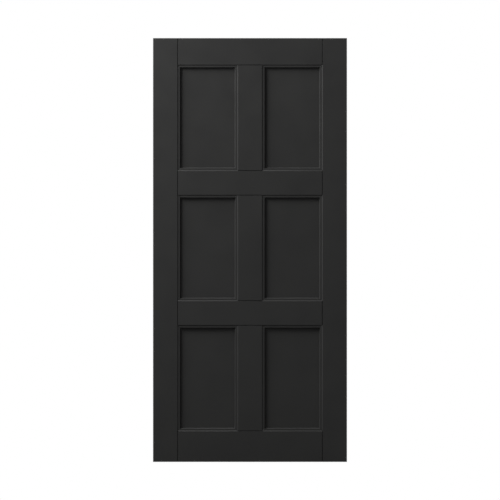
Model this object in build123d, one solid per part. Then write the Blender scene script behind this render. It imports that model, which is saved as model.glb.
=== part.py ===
from build123d import *

import math
import os
from dataclasses import dataclass, replace

# Panelled timber door leaf: stiles, rails and muntins round flat panels, in millimetres.
# X runs across the leaf, the outside face looks towards -Y and +Z is up.
# The origin is the middle of the bottom edge, half way through the thickness.

# The leaf
LEAF_WIDTH = 915.0
LEAF_HEIGHT = 2000.0
LEAF_THICKNESS = 44.0

# What each frame member shows on the face
STILE_WIDTH = 116.0
MUNTIN_WIDTH = 116.0
TOP_RAIL_DEPTH = 127.0
MIDDLE_RAIL_DEPTH = 116.0
BOTTOM_RAIL_DEPTH = 146.0

# Arrises on each edge beside an opening, and round the outside of the leaf
INNER_ARRIS = 1.5
OUTER_ARRIS = 1.2

# A fine square groove is cut over each joint of the frame, in both faces, half in each piece
JOINT_GROOVE_WIDTH = 3.0
JOINT_GROOVE_DEPTH = 3.0

# Moulding round each panel, from the edge of the frame inwards: a step that leads on down from
# the arris, a flat band, a steep slope and an upright toe on the panel
STEP_WIDTH = 2.5
STEP_DEPTH = 1.0
BAND_WIDTH = 8.2
SLOPE_WIDTH = 3.8
TOE_HEIGHT = 3.0
RECESS_DEPTH = 13.0

# Panels, pushed in from the back, and the beads that hold them there
PANEL_THICKNESS = 18.0
PANEL_CLEARANCE = 1.5
BEAD_CLEARANCE = 0.2

# Fluted dowels in the joints of the frame
RAIL_DOWEL_DIAMETER = 16.0
RAIL_DOWEL_LENGTH = 120.0
RAIL_DOWEL_EDGE = 30.0
MUNTIN_DOWEL_DIAMETER = 12.0
MUNTIN_DOWEL_LENGTH = 80.0
MUNTIN_DOWEL_EDGE = 30.0
MUNTIN_DOWELS = 2
DOWEL_CLEARANCE = 0.1
DOWEL_END_SPACE = 2.0
DOWEL_CHAMFER = 1.5
FLUTE_COUNT = 12
FLUTE_DEPTH = 0.5

# Lost-head pins through the beads
PIN_DIAMETER = 1.6
PIN_LENGTH = 30.0
PIN_HEAD_DIAMETER = 2.6
PIN_HEAD_LENGTH = 1.5
PIN_POINT = 0.4
PIN_SINK = 0.4
PIN_CLEARANCE = 0.05
PIN_END_SPACE = 0.5
PIN_END_MARGIN = 45.0
PIN_PITCH_MOST = 210.0

# Panel rows from the bottom up, and the columns on both sides of the muntins, seen from outside
ROWS = ("lower", "middle", "upper")
COLUMNS = ("left", "right")

# The turn about Y that takes the foot of an opening to each of its sides
SIDE_TURN = {"foot": 0.0, "left": 90.0, "head": 180.0, "right": 270.0}

# Where a side's face is found on a block, and the direction of the edges that it shares with
# the leaf's faces
SIDE_FACE = {
    "left": (Axis.X, 0, Axis.Z),
    "right": (Axis.X, -1, Axis.Z),
    "foot": (Axis.Z, 0, Axis.X),
    "head": (Axis.Z, -1, Axis.X),
}

FRONT = -1
BACK = 1

MOULDING_WIDTH = STEP_WIDTH + BAND_WIDTH + SLOPE_WIDTH
BAND_DEPTH = INNER_ARRIS + STEP_DEPTH
BEAD_DEPTH = LEAF_THICKNESS - RECESS_DEPTH - PANEL_THICKNESS


@dataclass(frozen=True)
class Area:
    """A rectangle on the face of the leaf."""

    left: float
    right: float
    foot: float
    head: float

    @property
    def width(self):
        return self.right - self.left

    @property
    def height(self):
        return self.head - self.foot

    @property
    def centre(self):
        return (self.left + self.right) / 2, (self.foot + self.head) / 2

    def shrunk(self, gap):
        return Area(self.left + gap, self.right - gap, self.foot + gap, self.head - gap)

    def strip_over(self, side, width):
        """A strip along one of the sides, half of its width in the area and half outside."""
        low, high = ("left", "right") if side in ("left", "right") else ("foot", "head")
        edge = getattr(self, side)
        return replace(self, **{low: edge - width / 2, high: edge + width / 2})

    def side_length(self, side):
        return self.width if side in ("foot", "head") else self.height

    def side_place(self, side):
        """The place of a side: local X runs along it and local Z points into the opening."""
        x, z = self.centre
        reach = (self.height if side in ("foot", "head") else self.width) / 2
        return Pos(x, 0, z) * Rot(0, SIDE_TURN[side], 0) * Pos(0, 0, -reach)


@dataclass(frozen=True)
class Rail:
    """A cross member of the frame, and how many dowels hold each of its ends."""

    name: str
    depth: float
    dowels: int


RAILS = (
    Rail("bottom_rail", BOTTOM_RAIL_DEPTH, 3),
    Rail("lower_middle_rail", MIDDLE_RAIL_DEPTH, 2),
    Rail("upper_middle_rail", MIDDLE_RAIL_DEPTH, 2),
    Rail("top_rail", TOP_RAIL_DEPTH, 2),
)

# How far the leaf, the rails and the muntins reach to each side of the middle
HALF_WIDTH = LEAF_WIDTH / 2
SHOULDER = HALF_WIDTH - STILE_WIDTH
HALF_MUNTIN = MUNTIN_WIDTH / 2

# What the rails leave is shared evenly by the rows
OPENING_HEIGHT = (LEAF_HEIGHT - sum(rail.depth for rail in RAILS)) / len(ROWS)


def rail_area(index):
    """The face of one rail, counted from the bottom, between the stiles."""
    foot = sum(rail.depth for rail in RAILS[:index]) + index * OPENING_HEIGHT
    return Area(-SHOULDER, SHOULDER, foot, foot + RAILS[index].depth)


def muntin_area(row):
    """The face of one muntin, between its two rails."""
    return Area(-HALF_MUNTIN, HALF_MUNTIN, rail_area(row).head, rail_area(row + 1).foot)


def opening_area(row, column):
    """One opening of the frame, between a stile and a muntin."""
    middle = muntin_area(row)
    if column == "left":
        return Area(-SHOULDER, middle.left, middle.foot, middle.head)
    return Area(middle.right, SHOULDER, middle.foot, middle.head)


def slab(area, front, back):
    """A flat board over an area of the face, from one depth to another along Y."""
    x, z = area.centre
    return Pos(x, (front + back) / 2, z) * Box(area.width, back - front, area.height)


def face_edges(block, side):
    """The two edges of a block's side that lie on the leaf's faces."""
    across, pick, along = SIDE_FACE[side]
    return block.faces().sort_by(across)[pick].edges().filter_by(along)


def side_bar(section, length, side_of_leaf):
    """A bar along the foot of an opening.

    Its section is given in pairs: how far in from the frame's edge, and how far down from the
    leaf's face.
    """
    outline = [(0, side_of_leaf * (LEAF_THICKNESS / 2 - down), inwards) for inwards, down in section]
    return extrude(make_face(Polyline(outline, close=True)), length / 2, both=True, dir=(1, 0, 0))


def arris_cuts(opening, side):
    """What comes off the frame along one side of an opening, at both faces."""
    section = [
        (-2 * INNER_ARRIS, -INNER_ARRIS),
        (INNER_ARRIS, 2 * INNER_ARRIS),
        (INNER_ARRIS, -INNER_ARRIS),
    ]
    length = opening.side_length(side)
    return [opening.side_place(side) * side_bar(section, length, face) for face in (FRONT, BACK)]


def eased_block(area, outer_sides, moulded):
    """A frame member's block of timber with its arrises taken off."""
    block = slab(area, -LEAF_THICKNESS / 2, LEAF_THICKNESS / 2)
    edges = [edge for side in outer_sides for edge in face_edges(block, side)]
    if edges:
        block = chamfer(edges, OUTER_ARRIS)
    return block - [cut for opening, side in moulded for cut in arris_cuts(opening, side)]


def joint_grooves(area, side):
    """The grooves in both faces over the joint at one end of a member."""
    strip, face = area.strip_over(side, JOINT_GROOVE_WIDTH), LEAF_THICKNESS / 2
    return [slab(strip, -face, JOINT_GROOVE_DEPTH - face), slab(strip, face - JOINT_GROOVE_DEPTH, face)]


def moulding_bar(length, depth, side_of_leaf):
    """A length of the moulding with mitred ends, standing on the foot of an opening.

    Its flat bottom lies at a depth that is measured from the leaf's face.
    """
    section = [
        (0, INNER_ARRIS),
        (STEP_WIDTH, BAND_DEPTH),
        (STEP_WIDTH + BAND_WIDTH, BAND_DEPTH),
        (MOULDING_WIDTH, depth - TOE_HEIGHT),
        (MOULDING_WIDTH, depth),
        (0, depth),
    ]
    bar = side_bar(section, length, side_of_leaf)
    mitre = [
        (-length / 2, 0, 0),
        (length / 2, 0, 0),
        (length / 2 - MOULDING_WIDTH, 0, MOULDING_WIDTH),
        (-length / 2 + MOULDING_WIDTH, 0, MOULDING_WIDTH),
    ]
    return bar & extrude(make_face(Polyline(mitre, close=True)), LEAF_THICKNESS, both=True, dir=(0, 1, 0))


def pin_level():
    """How far a pin's axis lies below the back face: half way down the bead's slope."""
    return (BAND_DEPTH + BEAD_DEPTH - TOE_HEIGHT) / 2


def pin_head_top():
    """How far in from the frame's edge a pin's sunk head ends, just under the slope."""
    slope_height = BEAD_DEPTH - TOE_HEIGHT - BAND_DEPTH
    lean = PIN_HEAD_DIAMETER / 2 * SLOPE_WIDTH / slope_height
    return MOULDING_WIDTH - SLOPE_WIDTH / 2 - lean - PIN_SINK


def upright(radius, low, high):
    """A round bar along Z between two heights."""
    return Pos(0, 0, (low + high) / 2) * Cylinder(radius, high - low)


def pin():
    """One pin on the foot of an opening, its point down in the frame."""
    top = pin_head_top()
    shank = upright(PIN_DIAMETER / 2, top - PIN_LENGTH, top)
    shank = chamfer(shank.edges().sort_by(Axis.Z)[0], PIN_POINT)
    return shank + upright(PIN_HEAD_DIAMETER / 2, top - PIN_HEAD_LENGTH, top)


def pin_hole():
    """The hole for one pin, open above its head."""
    top = pin_head_top()
    foot = top - PIN_LENGTH - PIN_END_SPACE
    shank = upright(PIN_DIAMETER / 2 + PIN_CLEARANCE, foot, top)
    head_foot = top - PIN_HEAD_LENGTH - PIN_CLEARANCE
    return shank + upright(PIN_HEAD_DIAMETER / 2 + PIN_CLEARANCE, head_foot, MOULDING_WIDTH)


def pin_places(opening, side):
    """Where the pins of one bead go, evenly spaced between its ends."""
    run = opening.side_length(side) - 2 * PIN_END_MARGIN
    spaces = max(1, math.ceil(run / PIN_PITCH_MOST))
    level = BACK * (LEAF_THICKNESS / 2 - pin_level())
    steps = [-run / 2 + index * run / spaces for index in range(spaces + 1)]
    return [opening.side_place(side) * Pos(step, level, 0) for step in steps]


def dowel(diameter, length):
    """A fluted dowel along Z with chamfered ends, centred on the joint."""
    rod = Cylinder(diameter / 2, length)
    rod = chamfer(rod.edges().filter_by(GeomType.CIRCLE), DOWEL_CHAMFER)
    flute = Pos(diameter / 2, 0, 0) * Cylinder(FLUTE_DEPTH, length)
    return rod - [Rot(0, 0, index * 360 / FLUTE_COUNT) * flute for index in range(FLUTE_COUNT)]


def dowel_hole(diameter, length):
    """The room for a dowel and its glue in both pieces of a joint."""
    return Cylinder(diameter / 2 + DOWEL_CLEARANCE, length + 2 * DOWEL_END_SPACE)


def spread(low, high, margin, count):
    """Evenly spaced places between two edges, the first and last a margin in from them."""
    step = (high - low - 2 * margin) / (count - 1)
    return [low + margin + index * step for index in range(count)]


def rail_dowel_places(index, shoulders=(-SHOULDER, SHOULDER)):
    """The dowels in one rail, at the shoulders asked for."""
    area = rail_area(index)
    heights = spread(area.foot, area.head, RAIL_DOWEL_EDGE, RAILS[index].dowels)
    return [Pos(x, 0, z) * Rot(0, 90, 0) for x in shoulders for z in heights]


def rail_dowel_holes(index, shoulders=(-SHOULDER, SHOULDER)):
    """The holes for the dowels in one rail, at the shoulders asked for."""
    hole = dowel_hole(RAIL_DOWEL_DIAMETER, RAIL_DOWEL_LENGTH)
    return [place * hole for place in rail_dowel_places(index, shoulders)]


def muntin_dowel_places(row):
    """The dowels in both ends of one muntin."""
    area = muntin_area(row)
    across = spread(area.left, area.right, MUNTIN_DOWEL_EDGE, MUNTIN_DOWELS)
    return [Pos(x, 0, z) for x in across for z in (area.foot, area.head)]


def muntin_dowel_holes(row):
    """The holes for the dowels in both ends of one muntin."""
    hole = dowel_hole(MUNTIN_DOWEL_DIAMETER, MUNTIN_DOWEL_LENGTH)
    return [place * hole for place in muntin_dowel_places(row)]


def moulded_member(area, outer_sides, moulded, joints):
    """A frame member: its eased block, the moulding worked on it, and its pin holes.

    moulded lists each opening beside it with the side of that opening that it forms, and
    joints is all that its joints cut away, both dowel holes and grooves.
    """
    solid = eased_block(area, outer_sides, moulded)
    cuts = list(joints)
    hole = pin_hole()
    bars = []
    for opening, side in moulded:
        bar = moulding_bar(opening.side_length(side), RECESS_DEPTH, FRONT)
        bars.append(opening.side_place(side) * bar)
        cuts += [place * hole for place in pin_places(opening, side)]
    return solid + bars - cuts


def stile(side):
    """A full-height stile, on the left or the right, seen from outside."""
    if side == "left":
        area, shoulder = Area(-HALF_WIDTH, -SHOULDER, 0, LEAF_HEIGHT), -SHOULDER
    else:
        area, shoulder = Area(SHOULDER, HALF_WIDTH, 0, LEAF_HEIGHT), SHOULDER
    moulded = [(opening_area(row, side), side) for row in range(len(ROWS))]
    joints = []
    for index in range(len(RAILS)):
        joints += rail_dowel_holes(index, [shoulder]) + joint_grooves(rail_area(index), side)
    return moulded_member(area, [side, "foot", "head"], moulded, joints)


def rail(index):
    """One rail, with the moulding of the openings above and below it."""
    area = rail_area(index)
    outer_sides, moulded = [], []
    joints = rail_dowel_holes(index) + joint_grooves(area, "left") + joint_grooves(area, "right")
    for side, row, formed in (("foot", index - 1, "head"), ("head", index, "foot")):
        if 0 <= row < len(ROWS):
            moulded += [(opening_area(row, column), formed) for column in COLUMNS]
            joints += muntin_dowel_holes(row) + joint_grooves(muntin_area(row), formed)
        else:
            outer_sides.append(side)
    return moulded_member(area, outer_sides, moulded, joints)


def muntin(row):
    """One muntin, with the moulding of the openings on both sides of it."""
    area = muntin_area(row)
    moulded = [(opening_area(row, "left"), "right"), (opening_area(row, "right"), "left")]
    joints = muntin_dowel_holes(row) + joint_grooves(area, "foot") + joint_grooves(area, "head")
    return moulded_member(area, [], moulded, joints)


def panel(opening):
    """A flat panel behind the outside moulding."""
    front = -LEAF_THICKNESS / 2 + RECESS_DEPTH
    return slab(opening.shrunk(PANEL_CLEARANCE), front, front + PANEL_THICKNESS)


def bead(opening, side):
    """A mitred bead behind a panel, along one side of its opening."""
    room = opening.shrunk(BEAD_CLEARANCE)
    bar = room.side_place(side) * moulding_bar(room.side_length(side), BEAD_DEPTH, BACK)
    hole = pin_hole()
    return bar - [place * hole for place in pin_places(opening, side)]


def copies(solid, places):
    """One group of the same solid at several places."""
    return Compound(children=[place * solid for place in places])


def frame_members():
    """The stiles, rails and muntins by name."""
    nodes = {"hinge_stile": stile("left"), "lock_stile": stile("right")}
    nodes.update({member.name: rail(index) for index, member in enumerate(RAILS)})
    nodes.update({f"{name}_muntin": muntin(row) for row, name in enumerate(ROWS)})
    return nodes


def infill():
    """The panels, with the four beads behind each, by name."""
    nodes = {}
    for row, name in enumerate(ROWS):
        for column in COLUMNS:
            opening = opening_area(row, column)
            nodes[f"{name}_{column}_panel"] = panel(opening)
            for side in SIDE_TURN:
                nodes[f"{name}_{column}_bead_{side}"] = bead(opening, side)
    return nodes


def fixings():
    """The dowels and pins, one group for each kind."""
    rows = range(len(ROWS))
    openings = [opening_area(row, column) for row in rows for column in COLUMNS]
    rail_places = [place for index in range(len(RAILS)) for place in rail_dowel_places(index)]
    muntin_places = [place for row in rows for place in muntin_dowel_places(row)]
    pins = [place for opening in openings for side in SIDE_TURN for place in pin_places(opening, side)]
    return {
        "rail_dowels": copies(dowel(RAIL_DOWEL_DIAMETER, RAIL_DOWEL_LENGTH), rail_places),
        "muntin_dowels": copies(dowel(MUNTIN_DOWEL_DIAMETER, MUNTIN_DOWEL_LENGTH), muntin_places),
        "bead_pins": copies(pin(), pins),
    }


def main():
    """Writes each piece to its own file."""
    os.makedirs("parts", exist_ok=True)
    for name, solid in (frame_members() | infill() | fixings()).items():
        solid.label = name
        export_step(solid, f"parts/{name}.step")


main()
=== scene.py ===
"""A black painted, panelled front door leaf: its finishes, fine fillings, light and camera.

The leaf's timber, beads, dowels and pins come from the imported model, and keep their shape and
place. This script paints them, rounds their arrises as paint does, fills the corners and the
pin holes, and sets the studio round the leaf. Lengths are in metres unless a name ends in mm.
"""

from __future__ import annotations

import logging
import math
from dataclasses import dataclass
from enum import Enum
from typing import Any, Iterable, Iterator

import bmesh
import bpy
from mathutils import Matrix, Vector
from mathutils.bvhtree import BVHTree

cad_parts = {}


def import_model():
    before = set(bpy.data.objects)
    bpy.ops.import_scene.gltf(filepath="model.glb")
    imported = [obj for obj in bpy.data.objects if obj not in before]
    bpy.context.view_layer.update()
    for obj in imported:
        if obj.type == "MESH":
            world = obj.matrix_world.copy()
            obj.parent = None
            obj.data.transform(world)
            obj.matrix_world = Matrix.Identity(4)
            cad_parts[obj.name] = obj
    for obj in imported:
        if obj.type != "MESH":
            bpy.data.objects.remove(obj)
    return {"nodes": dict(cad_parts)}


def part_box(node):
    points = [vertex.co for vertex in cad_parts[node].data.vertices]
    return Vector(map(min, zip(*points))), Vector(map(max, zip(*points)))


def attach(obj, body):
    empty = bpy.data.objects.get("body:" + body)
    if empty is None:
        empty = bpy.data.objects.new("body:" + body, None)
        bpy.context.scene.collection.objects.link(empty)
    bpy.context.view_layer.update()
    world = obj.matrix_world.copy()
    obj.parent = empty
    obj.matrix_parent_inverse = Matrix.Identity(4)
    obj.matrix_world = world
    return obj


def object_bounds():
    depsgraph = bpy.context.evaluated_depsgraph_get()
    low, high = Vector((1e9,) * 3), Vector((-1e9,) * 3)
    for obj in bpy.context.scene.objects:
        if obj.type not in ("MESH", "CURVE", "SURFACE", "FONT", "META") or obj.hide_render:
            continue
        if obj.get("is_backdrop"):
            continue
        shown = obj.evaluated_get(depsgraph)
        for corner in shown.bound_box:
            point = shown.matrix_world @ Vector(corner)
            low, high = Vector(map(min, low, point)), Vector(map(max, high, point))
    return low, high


log = logging.getLogger("door_leaf")

MM = 0.001
BODY = "root"
WHITE = (1.0, 1.0, 1.0, 1.0)
# Edges of added pieces that turn by more than this stay sharp
CREASE_DEGREES = 40.0

# The sRGB curve: a straight foot below the knee, and a power above it
CHANNEL_MOST = 255
SRGB_KNEE = 0.04045
SRGB_FOOT = 12.92
SRGB_OFFSET = 0.055
SRGB_POWER = 2.4

# Sockets of the colour mixing node, whose names are not unique
MIX_SHARE = 0
MIX_FIRST = 6
MIX_SECOND = 7
MIXED_COLOUR = 2

ROWS = ("lower", "middle", "upper")
COLUMNS = ("left", "right")
BEAD_SIDES = ("foot", "left", "head", "right")
STILES = ("hinge_stile", "lock_stile")
RAILS = ("bottom_rail", "lower_middle_rail", "upper_middle_rail", "top_rail")
MUNTINS = tuple(f"{row}_muntin" for row in ROWS)
PANELS = tuple(f"{row}_{column}_panel" for row in ROWS for column in COLUMNS)
LEVEL_BEADS = tuple(
    f"{row}_{column}_bead_{side}" for row in ROWS for column in COLUMNS for side in ("foot", "head")
)
UPRIGHT_BEADS = tuple(
    f"{row}_{column}_bead_{side}" for row in ROWS for column in COLUMNS for side in ("left", "right")
)
BEADS = LEVEL_BEADS + UPRIGHT_BEADS

# The lowest and the highest corner
Box = tuple[Vector, Vector]


class Grain(Enum):
    """Which way the fibres of a piece of timber run."""

    UPRIGHT = "upright"
    LEVEL = "level"


class Face(Enum):
    """The two faces of the leaf, by the way they look along Y."""

    OUTSIDE = -1
    BACK = 1


def linear(colour: str) -> tuple[float, float, float, float]:
    """Turns an sRGB colour into the linear values that shaders use.

    Args:
        colour: six hex digits after a hash sign.

    Returns:
        Red, green, blue and an alpha of 1.
    """
    values: list[float] = []
    for start in (1, 3, 5):
        channel = int(colour[start : start + 2], 16) / CHANNEL_MOST
        if channel <= SRGB_KNEE:
            values.append(channel / SRGB_FOOT)
        else:
            values.append(((channel + SRGB_OFFSET) / (1 + SRGB_OFFSET)) ** SRGB_POWER)
    return values[0], values[1], values[2], 1.0


def add_node(
    tree: bpy.types.NodeTree,
    kind: str,
    inputs: dict[str | int, Any] | None = None,
    **settings: Any,
) -> bpy.types.Node:
    """Adds one node, sets it up and links it.

    Args:
        tree: the node tree that gets it.
        kind: the node's type.
        inputs: a value, or the output socket to link, for each input by name or number.
        settings: attributes of the node itself.

    Returns:
        The new node.
    """
    node = tree.nodes.new(kind)
    for name, value in settings.items():
        setattr(node, name, value)
    for key, value in (inputs or {}).items():
        if isinstance(value, bpy.types.NodeSocket):
            tree.links.new(value, node.inputs[key])
        else:
            node.inputs[key].default_value = value
    return node


def new_material(name: str) -> tuple[bpy.types.Material, bpy.types.NodeTree]:
    """Makes an empty node material.

    Args:
        name: what the material is called.

    Returns:
        The material and its node tree.
    """
    material = bpy.data.materials.new(name)
    material.use_nodes = True
    material.node_tree.nodes.clear()
    return material, material.node_tree


def coat(piece: bpy.types.Object, material: bpy.types.Material) -> None:
    """Puts one material on the whole of a piece."""
    piece.data.materials.clear()
    piece.data.materials.append(material)


@dataclass(frozen=True)
class SatinEnamel:
    """Black satin enamel, sprayed over primed and sanded softwood.

    Spraying leaves a faint orange peel that softens each reflection, and the timber's grain
    still shows through the film as long, shallow ridges. The colour is close to neutral.
    """

    colour: str = "#2c2c2c"
    thin_colour: str = "#2e2e2d"
    ior: float = 1.5
    smoothest: float = 0.50
    roughest: float = 0.60
    # Patches of film laid a little thicker or thinner by the spray gun's passes
    pass_mm: float = 140.0
    pass_detail: float = 2.0
    # The part of the noise's range that runs from the smoothest to the roughest film
    pass_span: tuple[float, float] = (0.3, 0.7)
    # Sprayed enamel peels in waves of 2 to 3 mm
    peel_mm: float = 2.4
    peel_detail: float = 1.0
    peel_depth_mm: float = 0.020
    # Softwood's growth rings are about 2 to 4 mm apart on a face and run on for hand lengths
    ring_mm: float = 3.0
    ring_run_mm: float = 260.0
    ring_detail: float = 3.0
    ring_roughness: float = 0.6
    ring_depth_mm: float = 0.060

    def material(self, grain: Grain) -> bpy.types.Material:
        """Builds the paint over timber whose grain runs one way.

        Args:
            grain: the way that the fibres run.

        Returns:
            The material.
        """
        material, tree = new_material(f"satin_enamel_on_{grain.value}_softwood")
        place = add_node(tree, "ShaderNodeTexCoord").outputs["Object"]
        across = 1 / (self.ring_mm * MM)
        along = 1 / (self.ring_run_mm * MM)
        scale = (across, across, along) if grain is Grain.UPRIGHT else (along, across, across)
        stretched = add_node(tree, "ShaderNodeMapping", {"Vector": place, "Scale": scale})
        rings = add_node(
            tree,
            "ShaderNodeTexNoise",
            {
                "Vector": stretched.outputs[0],
                "Scale": 1.0,
                "Detail": self.ring_detail,
                "Roughness": self.ring_roughness,
            },
        )
        peel = add_node(
            tree,
            "ShaderNodeTexNoise",
            {"Vector": place, "Scale": 1 / (self.peel_mm * MM), "Detail": self.peel_detail},
        )
        passes = add_node(
            tree,
            "ShaderNodeTexNoise",
            {"Vector": place, "Scale": 1 / (self.pass_mm * MM), "Detail": self.pass_detail},
        )
        tone = add_node(
            tree,
            "ShaderNodeMix",
            {
                MIX_SHARE: passes.outputs[0],
                MIX_FIRST: linear(self.colour),
                MIX_SECOND: linear(self.thin_colour),
            },
            data_type="RGBA",
        )
        least, most = self.pass_span
        roughness = add_node(
            tree,
            "ShaderNodeMapRange",
            {
                "Value": passes.outputs[0],
                "From Min": least,
                "From Max": most,
                "To Min": self.smoothest,
                "To Max": self.roughest,
            },
        )
        peel_height = add_node(
            tree,
            "ShaderNodeMath",
            {0: peel.outputs[0], 1: self.peel_depth_mm * MM},
            operation="MULTIPLY",
        )
        height = add_node(
            tree,
            "ShaderNodeMath",
            {0: rings.outputs[0], 1: self.ring_depth_mm * MM, 2: peel_height.outputs[0]},
            operation="MULTIPLY_ADD",
        )
        # The height is in metres already
        relief = add_node(
            tree,
            "ShaderNodeBump",
            {"Strength": 1.0, "Distance": 1.0, "Height": height.outputs[0]},
        )
        shader = add_node(
            tree,
            "ShaderNodeBsdfPrincipled",
            {
                "Base Color": tone.outputs[MIXED_COLOUR],
                "Roughness": roughness.outputs[0],
                "IOR": self.ior,
                "Normal": relief.outputs[0],
            },
        )
        add_node(tree, "ShaderNodeOutputMaterial", {"Surface": shader.outputs[0]})
        return material


@dataclass(frozen=True)
class TurnedBeech:
    """Bare steamed beech, turned to a rod and fluted.

    It is pinkish brown with short dark flecks along the rod, and dull from the cutter.
    """

    pale: str = "#c89b6d"
    dark: str = "#9a6a43"
    ior: float = 1.5
    roughness: float = 0.62
    # Beech's ray flecks are about 0.6 mm wide and 4 mm long
    fleck_mm: float = 0.6
    fleck_run_mm: float = 4.0
    fleck_detail: float = 2.0
    fleck_depth_mm: float = 0.02

    def material(self) -> bpy.types.Material:
        """Builds the beech.

        Returns:
            The material.
        """
        material, tree = new_material("turned_steamed_beech")
        place = add_node(tree, "ShaderNodeTexCoord").outputs["Object"]
        # The dowels lie along X or Z, so the flecks are long both ways and narrow along Y
        fine = 1 / (self.fleck_mm * MM)
        run = 1 / (self.fleck_run_mm * MM)
        stretched = add_node(tree, "ShaderNodeMapping", {"Vector": place, "Scale": (run, fine, run)})
        flecks = add_node(
            tree,
            "ShaderNodeTexNoise",
            {"Vector": stretched.outputs[0], "Scale": 1.0, "Detail": self.fleck_detail},
        )
        tone = add_node(
            tree,
            "ShaderNodeMix",
            {
                MIX_SHARE: flecks.outputs[0],
                MIX_FIRST: linear(self.pale),
                MIX_SECOND: linear(self.dark),
            },
            data_type="RGBA",
        )
        relief = add_node(
            tree,
            "ShaderNodeBump",
            {"Strength": 1.0, "Distance": self.fleck_depth_mm * MM, "Height": flecks.outputs[0]},
        )
        shader = add_node(
            tree,
            "ShaderNodeBsdfPrincipled",
            {
                "Base Color": tone.outputs[MIXED_COLOUR],
                "Roughness": self.roughness,
                "IOR": self.ior,
                "Normal": relief.outputs[0],
            },
        )
        add_node(tree, "ShaderNodeOutputMaterial", {"Surface": shader.outputs[0]})
        return material


@dataclass(frozen=True)
class DrawnSteel:
    """Bright mild steel wire, drawn and cut to pins.

    Drawing leaves fine scratches, which make the wire duller in some places than in others.
    """

    colour: str = "#b9babc"
    smoothest: float = 0.26
    roughest: float = 0.42
    # Real drawing marks are about 0.02 mm apart, too fine to show, so they are drawn coarser
    scratch_mm: float = 0.25

    def material(self) -> bpy.types.Material:
        """Builds the steel.

        Returns:
            The material.
        """
        material, tree = new_material("drawn_mild_steel")
        place = add_node(tree, "ShaderNodeTexCoord").outputs["Object"]
        scratches = add_node(
            tree, "ShaderNodeTexNoise", {"Vector": place, "Scale": 1 / (self.scratch_mm * MM)}
        )
        roughness = add_node(
            tree,
            "ShaderNodeMapRange",
            {
                "Value": scratches.outputs[0],
                "To Min": self.smoothest,
                "To Max": self.roughest,
            },
        )
        shader = add_node(
            tree,
            "ShaderNodeBsdfPrincipled",
            {
                "Base Color": linear(self.colour),
                "Metallic": 1.0,
                "Roughness": roughness.outputs[0],
            },
        )
        add_node(tree, "ShaderNodeOutputMaterial", {"Surface": shader.outputs[0]})
        return material


@dataclass(frozen=True)
class Paintwork:
    """The same paint over upright and over level grain."""

    upright: bpy.types.Material
    level: bpy.types.Material

    @classmethod
    def mixed(cls, enamel: SatinEnamel) -> Paintwork:
        """Mixes both materials from one enamel."""
        return cls(enamel.material(Grain.UPRIGHT), enamel.material(Grain.LEVEL))

    def over(self, grain: Grain) -> bpy.types.Material:
        """The paint for a piece whose grain runs one way."""
        return self.upright if grain is Grain.UPRIGHT else self.level


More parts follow.
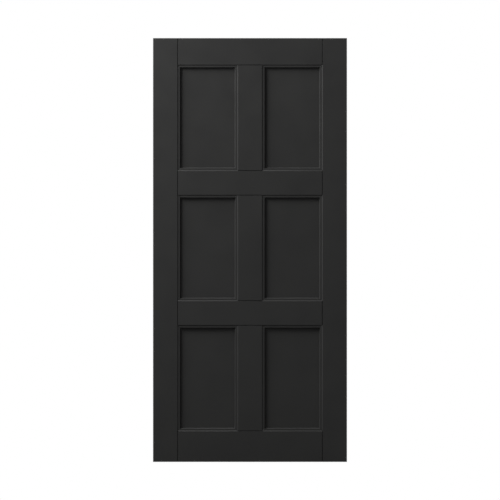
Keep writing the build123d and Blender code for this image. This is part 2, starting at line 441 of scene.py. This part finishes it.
@dataclass(frozen=True)
class PaintedTimber:
    """Stiles, rails, muntins, panels and beads, under one coat of paint."""

    nodes: dict[str, bpy.types.Object]
    paint: Paintwork
    # The radius that sanding and paint leave on an arris
    arris_mm: float = 0.5
    arris_steps: int = 2
    weld_mm: float = 0.01
    # Edges that turn outward by less are the facets of round holes
    sharp_from_degrees: float = 25.0
    # Thin triangles round the holes would tear, so the triangles of each flat face are joined
    flat_to_degrees: float = 0.5
    # Shorter edges are the rims of holes, which stay sharp
    shortest_mm: float = 2.0

    def grains(self) -> Iterator[tuple[str, Grain]]:
        """Each painted piece, with the way that its grain runs.

        Returns:
            Pairs of a node's name and its grain.
        """
        for name in STILES + MUNTINS + PANELS + UPRIGHT_BEADS:
            yield name, Grain.UPRIGHT
        for name in RAILS + LEVEL_BEADS:
            yield name, Grain.LEVEL

    def arris_marks(self) -> bpy.types.NodeTree:
        """Builds the tree that marks the long, sharp, outward edges of a piece.

        Returns:
            The tree, for a geometry nodes modifier.
        """
        tree = bpy.data.node_groups.new("arris_marks", "GeometryNodeTree")
        for way in ("INPUT", "OUTPUT"):
            tree.interface.new_socket("Geometry", in_out=way, socket_type="NodeSocketGeometry")
        solid = add_node(tree, "NodeGroupInput").outputs[0]
        angle = add_node(tree, "GeometryNodeInputMeshEdgeAngle").outputs["Signed Angle"]
        sharp = add_node(
            tree,
            "ShaderNodeMath",
            {0: angle, 1: math.radians(self.sharp_from_degrees)},
            operation="GREATER_THAN",
        )
        ends = add_node(tree, "GeometryNodeInputMeshEdgeVertices")
        length = add_node(
            tree,
            "ShaderNodeVectorMath",
            {0: ends.outputs["Position 1"], 1: ends.outputs["Position 2"]},
            operation="DISTANCE",
        )
        long = add_node(
            tree,
            "ShaderNodeMath",
            {0: length.outputs["Value"], 1: self.shortest_mm * MM},
            operation="GREATER_THAN",
        )
        both = add_node(
            tree,
            "ShaderNodeMath",
            {0: sharp.outputs[0], 1: long.outputs[0]},
            operation="MULTIPLY",
        )
        stored = add_node(
            tree,
            "GeometryNodeStoreNamedAttribute",
            {"Geometry": solid, "Name": "bevel_weight_edge", "Value": both.outputs[0]},
            data_type="FLOAT",
            domain="EDGE",
        )
        add_node(tree, "NodeGroupOutput", {0: stored.outputs[0]})
        return tree

    def soften(self, name: str, marks: bpy.types.NodeTree) -> None:
        """Rounds a piece's arrises as far as the paint does.

        Args:
            name: the timber to soften.
            marks: the tree that picks its arrises.
        """
        piece = self.nodes[name]
        weld = piece.modifiers.new("joined_corners", "WELD")
        weld.merge_threshold = self.weld_mm * MM
        flat = piece.modifiers.new("whole_faces", "DECIMATE")
        flat.decimate_type = "DISSOLVE"
        flat.angle_limit = math.radians(self.flat_to_degrees)
        piece.modifiers.new("marked_arrises", "NODES").node_group = marks
        bevel = piece.modifiers.new("painted_arris", "BEVEL")
        bevel.width = self.arris_mm * MM
        bevel.segments = self.arris_steps
        bevel.limit_method = "WEIGHT"
        bevel.harden_normals = True
        bevel.use_clamp_overlap = False
        bevel.loop_slide = False

    def dress(self) -> None:
        """Paints and softens every piece."""
        marks = self.arris_marks()
        for name, grain in self.grains():
            coat(self.nodes[name], self.paint.over(grain))
            self.soften(name, marks)
            log.info("painted %s over %s grain", name, grain.value)


@dataclass(frozen=True)
class Fixings:
    """The dowels and pins, as they are before the leaf is put together."""

    nodes: dict[str, bpy.types.Object]

    def dress(self) -> None:
        """Gives the dowels and the pins their bare materials."""
        beech = TurnedBeech().material()
        for name in ("rail_dowels", "muntin_dowels"):
            coat(self.nodes[name], beech)
            log.info("left %s in bare beech", name)
        coat(self.nodes["bead_pins"], DrawnSteel().material())
        log.info("left bead_pins in bright steel")


def add_piece(
    name: str, points: list[Vector], faces: list[tuple[int, ...]], material: bpy.types.Material
) -> bpy.types.Object:
    """Makes a new piece of the leaf from its points and faces.

    Args:
        name: what the piece is called.
        points: its corners.
        faces: the corner numbers of each face.
        material: its finish.

    Returns:
        The piece, riding on the leaf.
    """
    mesh = bpy.data.meshes.new(name)
    mesh.from_pydata(points, [], faces)
    mesh.polygons.foreach_set("use_smooth", [True] * len(faces))
    mesh.update()
    mesh.set_sharp_from_angle(angle=math.radians(CREASE_DEGREES))
    piece = bpy.data.objects.new(name, mesh)
    bpy.context.scene.collection.objects.link(piece)
    coat(piece, material)
    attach(piece, BODY)
    log.info("added %s with %d faces", name, len(faces))
    return piece


@dataclass(frozen=True)
class PaintFillets:
    """The hollow line that paint leaves where a moulding meets its panel."""

    paint: Paintwork
    radius_mm: float = 0.5
    steps: int = 4
    # How far the fillet's feet sink into the timber, so that no slit shows
    bedding_mm: float = 0.05

    def inner_edge(self, row: int, column: str, face: Face) -> tuple[float, float, float, float]:
        """Where the moulding round one panel stops.

        Args:
            row: the panel's row, from the bottom.
            column: left or right.
            face: the face of the leaf.

        Returns:
            The left, right, lower and upper edge.
        """
        if face is Face.BACK:
            beads = {side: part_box(f"{ROWS[row]}_{column}_bead_{side}") for side in BEAD_SIDES}
            return beads["left"][1].x, beads["right"][0].x, beads["foot"][1].z, beads["head"][0].z
        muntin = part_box(MUNTINS[row])
        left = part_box(STILES[0])[1].x if column == "left" else muntin[1].x
        right = muntin[0].x if column == "left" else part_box(STILES[1])[0].x
        return left, right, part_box(RAILS[row])[1].z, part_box(RAILS[row + 1])[0].z

    def loop(self, row: int, column: str, face: Face) -> tuple[list[Vector], list[tuple[int, ...]]]:
        """One mitred fillet round a panel.

        Args:
            row: the panel's row, from the bottom.
            column: left or right.
            face: the face of the leaf.

        Returns:
            Its points and faces.
        """
        left, right, foot, head = self.inner_edge(row, column, face)
        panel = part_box(f"{ROWS[row]}_{column}_panel")
        ground = panel[0].y if face is Face.OUTSIDE else panel[1].y
        radius = self.radius_mm * MM
        bedding = self.bedding_mm * MM
        section = [(-bedding, -bedding), (-bedding, radius)]
        for step in range(1, self.steps):
            angle = math.pi / 2 * step / self.steps
            section.append((radius * (1 - math.cos(angle)), radius * (1 - math.sin(angle))))
        section.append((radius, -bedding))
        # The panel's corners, with the way from each into the panel
        corners = ((left, foot, 1, 1), (right, foot, -1, 1), (right, head, -1, -1), (left, head, 1, -1))
        points: list[Vector] = []
        for inwards, above in section:
            y = ground + face.value * above
            points += [Vector((x + to_x * inwards, y, z + to_z * inwards)) for x, z, to_x, to_z in corners]
        count = len(corners)
        faces: list[tuple[int, ...]] = []
        for line in range(len(section)):
            here = line * count
            there = (line + 1) % len(section) * count
            for corner in range(count):
                turn = (corner + 1) % count
                quad = (here + corner, here + turn, there + turn, there + corner)
                faces.append(quad if face is Face.OUTSIDE else quad[::-1])
        return points, faces

    def build(self) -> None:
        """Adds the fillets of each face as one piece."""
        for face, name in ((Face.OUTSIDE, "paint_fillets_outside"), (Face.BACK, "paint_fillets_back")):
            points: list[Vector] = []
            faces: list[tuple[int, ...]] = []
            for row in range(len(ROWS)):
                for column in COLUMNS:
                    more_points, more_faces = self.loop(row, column, face)
                    faces += [tuple(index + len(points) for index in one) for one in more_faces]
                    points += more_points
            piece = add_piece(name, points, faces, self.paint.upright)


@dataclass(frozen=True)
class PinStopping:
    """The filler over each sunk pin, rubbed down with the bead's slope and painted.

    Each dab fills the hole over the pin's head and laps onto the slope with a feather edge. It
    has shrunk a little in the middle, which leaves a shallow dish.
    """

    nodes: dict[str, bpy.types.Object]
    paint: Paintwork
    radius_mm: float = 1.9
    # How far the feather edge and the crown stand over the slope
    feather_mm: float = 0.005
    crown_mm: float = 0.05
    # The crown's ring and the plug's foot, as shares of the radius
    crown_share: float = 0.75
    foot_share: float = 0.68
    # How far the dish and the plug's foot lie under the slope
    dish_mm: float = 0.12
    foot_mm: float = 0.35
    points_round: int = 20
    # How far over the pin's head the search for the slope starts
    reach_mm: float = 30.0
    weld_mm: float = 0.01
    # Corners this near a pin's end belong to that end
    end_mm: float = 0.2

    def pins(self) -> Iterator[list[Vector]]:
        """Takes the pins' mesh apart.

        Returns:
            The corners of each pin.
        """
        work = bmesh.new()
        work.from_mesh(self.nodes["bead_pins"].data)
        bmesh.ops.remove_doubles(work, verts=work.verts, dist=self.weld_mm * MM)
        seen: set[bmesh.types.BMVert] = set()
        for first in work.verts:
            if first in seen:
                continue
            seen.add(first)
            pin = [first]
            # The list grows as long as it finds linked corners
            for vertex in pin:
                for edge in vertex.link_edges:
                    other = edge.other_vert(vertex)
                    if other not in seen:
                        seen.add(other)
                        pin.append(other)
            yield [vertex.co.copy() for vertex in pin]
        work.free()

    def head(self, corners: list[Vector]) -> tuple[Vector, Vector]:
        """The head end of one pin, which is the wider end.

        Args:
            corners: the pin's corners.

        Returns:
            The middle of the end, and the way that it looks.
        """
        low = Vector([min(corner[axis] for corner in corners) for axis in range(3)])
        high = Vector([max(corner[axis] for corner in corners) for axis in range(3)])
        middle = (low + high) / 2
        along = max(range(3), key=lambda axis: high[axis] - low[axis])
        ends: list[tuple[float, Vector, Vector]] = []
        for sign, end in ((-1, low), (1, high)):
            place = middle.copy()
            place[along] = end[along]
            rim = [corner for corner in corners if abs(corner[along] - end[along]) < self.end_mm * MM]
            look = Vector()
            look[along] = sign
            ends.append((max((corner - place).length for corner in rim), place, look))
        _, place, look = max(ends, key=lambda end: end[0])
        return place, look

    def slopes(self) -> BVHTree:
        """Gathers the surfaces of all the beads.

        Returns:
            A tree to cast rays at.
        """
        work = bmesh.new()
        for name in BEADS:
            work.from_mesh(self.nodes[name].data)
        tree = BVHTree.FromBMesh(work)
        work.free()
        return tree

    def rim(self, tree: BVHTree, place: Vector, look: Vector) -> list[Vector]:
        """The edge of one dab of filler, on the bead's slope.

        Args:
            tree: the beads' surfaces.
            place: the middle of the pin's head.
            look: the way that the head looks.

        Returns:
            Points round the hole.
        """
        side = look.orthogonal().normalized()
        rim: list[Vector] = []
        for step in range(self.points_round):
            turn = Matrix.Rotation(math.tau * step / self.points_round, 3, look)
            outward = (turn @ side) * self.radius_mm * MM
            hit, _, _, _ = tree.ray_cast(place + outward + look * self.reach_mm * MM, -look)
            if hit is not None:
                rim.append(hit)
        return rim

    def dab(self, rim: list[Vector], look: Vector) -> tuple[list[Vector], list[tuple[int, ...]]]:
        """One closed dab of filler: a feathered crown on the slope and a plug under it.

        Args:
            rim: the dab's edge on the slope.
            look: the way that the pin's head looks.

        Returns:
            Its points and faces.
        """
        count = len(rim)
        middle = sum(rim, Vector()) / count
        quarter = count // 4
        out = (rim[0] - middle).cross(rim[quarter] - middle).normalized()
        # One millimetre, out of the slope
        out *= math.copysign(MM, out.dot(look))
        foot = -out * self.foot_mm
        crown = out * self.crown_mm
        points = [middle.lerp(point, self.foot_share) + foot for point in rim]
        points += [point + out * self.feather_mm for point in rim]
        points += [middle.lerp(point, self.crown_share) + crown for point in rim]
        points += [middle + foot, middle - out * self.dish_mm]
        foot_ring, rim_ring, crown_ring = range(0, 3 * count, count)
        under = crown_ring + count
        over = under + 1
        faces: list[tuple[int, ...]] = []
        for index in range(count):
            turn = (index + 1) % count
            faces.append((turn, index, under))
            for below, above in ((foot_ring, rim_ring), (rim_ring, crown_ring)):
                faces.append((below + index, below + turn, above + turn, above + index))
            faces.append((crown_ring + index, crown_ring + turn, over))
        return points, faces

    def build(self) -> None:
        """Adds the stopping over all the pins as one piece."""
        tree = self.slopes()
        points: list[Vector] = []
        faces: list[tuple[int, ...]] = []
        for corners in self.pins():
            place, look = self.head(corners)
            more_points, more_faces = self.dab(self.rim(tree, place, look), look)
            faces += [tuple(index + len(points) for index in one) for one in more_faces]
            points += more_points
        piece = add_piece("pin_stopping", points, faces, self.paint.upright)


@dataclass(frozen=True)
class SoftLamp:
    """A large square soft box that faces the middle of the leaf."""

    name: str
    place: tuple[float, float, float]
    size: float
    power: float

    def hang(self, target: Vector) -> None:
        """Hangs the lamp.

        Args:
            target: the point that it faces.
        """
        light = bpy.data.lights.new(self.name, "AREA")
        light.shape = "SQUARE"
        light.size = self.size
        light.energy = self.power
        lamp = bpy.data.objects.new(self.name, light)
        lamp.location = self.place
        lamp.rotation_euler = (target - lamp.location).to_track_quat("-Z", "Y").to_euler()
        bpy.context.scene.collection.objects.link(lamp)
        log.info("hung %s", self.name)


@dataclass(frozen=True)
class Studio:
    """The plain pale floor, the white surround and the lamps."""

    floor_radius: float = 8.0
    floor_sides: int = 64
    floor_colour: str = "#e9e8e5"
    # The floor as the lamps' bounce sees it, which keeps the foot of the leaf as dark as its head
    floor_bounce_colour: str = "#5a5a59"
    # The floor turns into the white surround between these distances from the leaf
    floor_fade: tuple[float, float] = (1.3, 4.0)
    fill: float = 0.18
    # The surround is white to a reflection only behind the leaf, where the photograph shows it
    white_from: tuple[float, float] = (0.15, 0.45)
    lamps: tuple[SoftLamp, ...] = (
        SoftLamp("key_upper_left", (-2.6, -1.2, 3.9), 2.2, 242.0),
        SoftLamp("key_behind", (2.6, 2.2, 3.9), 2.2, 242.0),
    )

    def floor_material(self) -> bpy.types.Material:
        """Builds the matt floor, white from a few steps away.

        Returns:
            The material.
        """
        material, tree = new_material("matt_pale_floor")
        rays = add_node(tree, "ShaderNodeLightPath")
        place = add_node(tree, "ShaderNodeTexCoord").outputs["Object"]
        away = add_node(tree, "ShaderNodeVectorMath", {0: place}, operation="LENGTH")
        near, far = self.floor_fade
        fade = add_node(
            tree,
            "ShaderNodeMapRange",
            {"Value": away.outputs["Value"], "From Min": near, "From Max": far},
            interpolation_type="SMOOTHSTEP",
        )
        tint = add_node(
            tree,
            "ShaderNodeMix",
            {
                MIX_SHARE: rays.outputs["Is Camera Ray"],
                MIX_FIRST: linear(self.floor_bounce_colour),
                MIX_SECOND: linear(self.floor_colour),
            },
            data_type="RGBA",
        )
        matt = add_node(tree, "ShaderNodeBsdfDiffuse", {"Color": tint.outputs[MIXED_COLOUR]})
        white = add_node(tree, "ShaderNodeEmission", {"Color": WHITE, "Strength": 1.0})
        seen = add_node(
            tree,
            "ShaderNodeMath",
            {0: rays.outputs["Is Camera Ray"], 1: rays.outputs["Is Transmission Ray"]},
            operation="MAXIMUM",
        )
        share = add_node(
            tree,
            "ShaderNodeMath",
            {0: seen.outputs[0], 1: fade.outputs[0]},
            operation="MULTIPLY",
        )
        mix = add_node(
            tree,
            "ShaderNodeMixShader",
            {0: share.outputs[0], 1: matt.outputs[0], 2: white.outputs[0]},
        )
        add_node(tree, "ShaderNodeOutputMaterial", {"Surface": mix.outputs[0]})
        return material

    def lay_floor(self, level: float) -> None:
        """Lays the floor under the leaf.

        Args:
            level: the height of the leaf's foot.
        """
        mesh = bpy.data.meshes.new("floor")
        work = bmesh.new()
        bmesh.ops.create_circle(
            work, cap_ends=True, segments=self.floor_sides, radius=self.floor_radius
        )
        work.to_mesh(mesh)
        work.free()
        floor = bpy.data.objects.new("floor", mesh)
        floor.location.z = level
        bpy.context.scene.collection.objects.link(floor)
        coat(floor, self.floor_material())
        floor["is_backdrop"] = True
        log.info("laid the floor")

    def light_surround(self) -> None:
        """Makes the surround white to look at, and a weak even fill as light."""
        world = bpy.data.worlds.new("white_surround")
        bpy.context.scene.world = world
        world.use_nodes = True
        tree = world.node_tree
        tree.nodes.clear()
        rays = add_node(tree, "ShaderNodeLightPath")
        way = add_node(tree, "ShaderNodeTexCoord").outputs["Generated"]
        parts = add_node(tree, "ShaderNodeSeparateXYZ", {0: way})
        first, last = self.white_from
        behind = add_node(
            tree,
            "ShaderNodeMapRange",
            {"Value": parts.outputs["Y"], "From Min": first, "From Max": last},
            interpolation_type="SMOOTHSTEP",
        )
        mirrored = add_node(
            tree,
            "ShaderNodeMath",
            {0: rays.outputs["Is Glossy Ray"], 1: rays.outputs["Is Transmission Ray"]},
            operation="MAXIMUM",
        )
        mirrored_behind = add_node(
            tree,
            "ShaderNodeMath",
            {0: mirrored.outputs[0], 1: behind.outputs[0]},
            operation="MULTIPLY",
        )
        seen = add_node(
            tree,
            "ShaderNodeMath",
            {0: rays.outputs["Is Camera Ray"], 1: mirrored_behind.outputs[0]},
            operation="MAXIMUM",
        )
        fill = add_node(tree, "ShaderNodeBackground", {"Color": WHITE, "Strength": self.fill})
        white = add_node(tree, "ShaderNodeBackground", {"Color": WHITE, "Strength": 1.0})
        mix = add_node(
            tree,
            "ShaderNodeMixShader",
            {0: seen.outputs[0], 1: fill.outputs[0], 2: white.outputs[0]},
        )
        add_node(tree, "ShaderNodeOutputWorld", {"Surface": mix.outputs[0]})

    def build(self, leaf: Box) -> None:
        """Sets the studio up round the leaf.

        Args:
            leaf: the leaf's lowest and highest corners.
        """
        low, high = leaf
        self.lay_floor(low.z)
        self.light_surround()
        for lamp in self.lamps:
            lamp.hang((low + high) / 2)


@dataclass(frozen=True)
class ElevationCamera:
    """A camera that sees the leaf straight on, with no perspective, as the photograph does."""

    picture_pixels: float = 500.0
    # The leaf's height in the photograph
    leaf_pixels: float = 423.78
    distance: float = 5.0

    def place(self, leaf: Box) -> None:
        """Puts the camera in front of the leaf's middle.

        Args:
            leaf: the leaf's lowest and highest corners.
        """
        low, high = leaf
        lens = bpy.data.cameras.new("elevation_camera")
        lens.type = "ORTHO"
        lens.ortho_scale = (high.z - low.z) * self.picture_pixels / self.leaf_pixels
        camera = bpy.data.objects.new("elevation_camera", lens)
        middle = (low + high) / 2
        camera.location = (middle.x, low.y - self.distance, middle.z)
        camera.rotation_euler = (math.pi / 2, 0, 0)
        bpy.context.scene.collection.objects.link(camera)
        bpy.context.scene.camera = camera
        log.info("placed the camera")


def main() -> None:
    """Dresses the leaf and sets the studio round it."""
    logging.basicConfig(level=logging.INFO, format="%(message)s")
    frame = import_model()
    cad_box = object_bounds()
    nodes = frame["nodes"]
    paint = Paintwork.mixed(SatinEnamel())
    PaintedTimber(nodes, paint).dress()
    Fixings(nodes).dress()
    PaintFillets(paint).build()
    PinStopping(nodes, paint).build()
    Studio().build(cad_box)
    ElevationCamera().place(cad_box)
    bpy.context.scene.view_settings.view_transform = "Standard"


if __name__ == "__main__":
    main()
